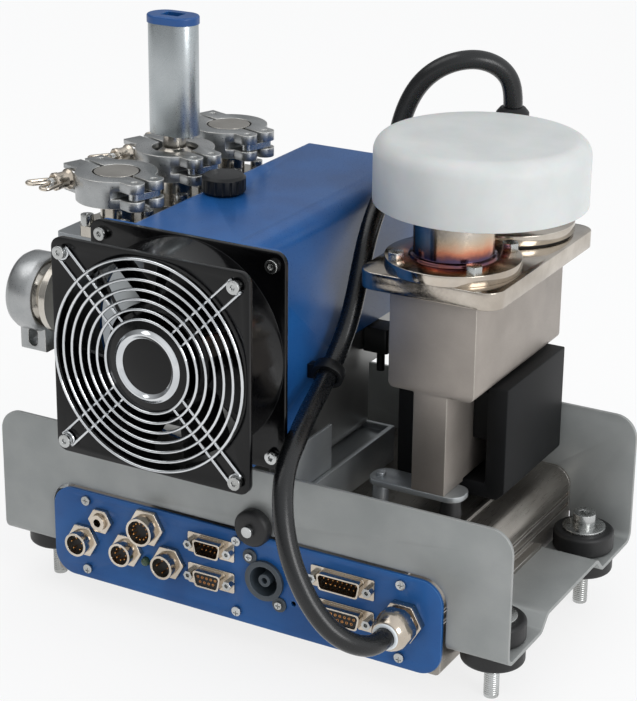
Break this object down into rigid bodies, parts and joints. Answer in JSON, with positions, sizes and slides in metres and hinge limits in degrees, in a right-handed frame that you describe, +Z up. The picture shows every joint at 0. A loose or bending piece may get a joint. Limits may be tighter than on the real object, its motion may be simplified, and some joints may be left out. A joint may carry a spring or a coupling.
{
  "type": "helium leak detector module",
  "caption": "Leak detector module on a folded tray: pump with cooling fan and cover, clamped vacuum ports, mass spectrometer with magnet, capped inlet flange, connector panel and cable.",
  "frame": {"origin": "on the floor, at the centre of the lower ends of the foot studs", "axes": "+X to the right of a viewer in front of the connector panel, +Y from the panel to the back, +Z up"},
  "size_m": [0.32, 0.2606, 0.3309],
  "materials": {
    "grey_powder_coat": "fine textured powder coat, warm mid grey",
    "blue_powder_coat": "smooth satin blue coat",
    "mill_aluminium": "extruded and anodised, satin",
    "plate_aluminium": "brushed sheet",
    "foot_rubber": "moulded black rubber",
    "zinc_steel": "zinc plated",
    "board_green": "solder mask",
    "nickel": "nickel plated",
    "black_plastic": "moulded black plastic",
    "socket_grey": "moulded grey black plastic",
    "lamp_clear": "tinted lamp body",
    "black_fan": "glossy black",
    "guard_chrome": "bright chrome",
    "stainless": "turned stainless steel",
    "polished_stainless": "polished stainless steel",
    "blasted_steel": "bead blasted",
    "cast_aluminium": "satin cast aluminium",
    "pump_aluminium": "machined aluminium",
    "satin_anodised": "satin clear anodised",
    "blue_plastic": "moulded blue plastic",
    "white_plastic": "milky soft white plastic",
    "magnet_black": "matte black paint",
    "cable_black": "smooth black jacket",
    "gasket_black": "seal rubber"
  },
  "bodies": {
    "chassis": {"base_tray": "grey_powder_coat", "foot_rubbers": "foot_rubber", "foot_bolts": "zinc_steel", "electronics_housing": "mill_aluminium", "housing_end_plate": "mill_aluminium", "circuit_board": "board_green", "front_panel": "blue_powder_coat", "panel_screws": "zinc_steel", "round_sockets": "nickel", "socket_nuts": "nickel", "contact_inserts": "black_plastic", "dsub_shells": "nickel", "jackscrews": "zinc_steel", "power_socket": "socket_grey", "status_led": "lamp_clear", "cable_gland": "nickel", "rubber_bumpers": "foot_rubber", "pump_base": "plate_aluminium", "side_plate": "plate_aluminium", "pump_body": "pump_aluminium", "pump_lid": "pump_aluminium", "pump_bearings": "stainless", "pump_cover": "blue_powder_coat", "fan_frame": "black_fan", "fan_guard": "guard_chrome", "fan_screws": "zinc_steel", "vacuum_block": "plate_aluminium", "vacuum_ports": "stainless", "vacuum_screws": "zinc_steel", "blank_discs": "stainless", "clamp_jaws": "cast_aluminium", "clamp_links": "zinc_steel", "swing_bolts": "zinc_steel", "gauge_stem": "stainless", "gauge_body": "satin_anodised", "gauge_cap": "blue_plastic", "side_port": "stainless", "side_clamp": "cast_aluminium", "analyser_block": "blasted_steel", "rear_cover": "blasted_steel", "top_plate": "polished_stainless", "source_flange": "polished_stainless", "inlet_flange": "polished_stainless", "protective_cap": "white_plastic", "second_flange": "polished_stainless", "flange_gasket": "gasket_black", "sensor_connector": "black_plastic", "magnet_yoke": "magnet_black", "pole_pieces": "magnet_black", "shelf_plate": "plate_aluminium", "sensor_cable": "cable_black", "cable_clip": "black_plastic", "pump_plug": "black_plastic"},
    "fan_rotor_body": {"fan_rotor": "black_fan"},
    "pump_rotor_body": {"pump_rotor": "stainless"},
    "vent_cap_body": {"vent_cap": "black_plastic"},
    "front_nut_body": {"wing_nut_front": "nickel"},
    "middle_nut_body": {"wing_nut_middle": "nickel"},
    "rear_nut_body": {"wing_nut_rear": "nickel"}
  },
  "joints": [
    {"name": "fan_spin", "type": "hinge", "parent": "chassis", "child": "fan_rotor_body", "pos_m": [-0.0232, -0.117, 0.1805], "axis": [0, 1, 0], "continuous": true},
    {"name": "pump_spin", "type": "hinge", "parent": "chassis", "child": "pump_rotor_body", "pos_m": [-0.0225, -0.008, 0.167], "axis": [0, 1, 0], "continuous": true},
    {"name": "vent_cap_turn", "type": "hinge", "parent": "chassis", "child": "vent_cap_body", "pos_m": [-0.047, -0.025, 0.24], "axis": [0, 0, 1], "continuous": true},
    {"name": "front_nut_turn", "type": "hinge", "parent": "chassis", "child": "front_nut_body", "pos_m": [-0.1209, -0.07258, 0.2478], "axis": [-0.3256, -0.9455, 0], "continuous": true},
    {"name": "middle_nut_turn", "type": "hinge", "parent": "chassis", "child": "middle_nut_body", "pos_m": [-0.1209, -0.01458, 0.2478], "axis": [-0.3256, -0.9455, 0], "continuous": true},
    {"name": "rear_nut_turn", "type": "hinge", "parent": "chassis", "child": "rear_nut_body", "pos_m": [-0.1209, 0.04342, 0.2478], "axis": [-0.3256, -0.9455, 0], "continuous": true}
  ]
}
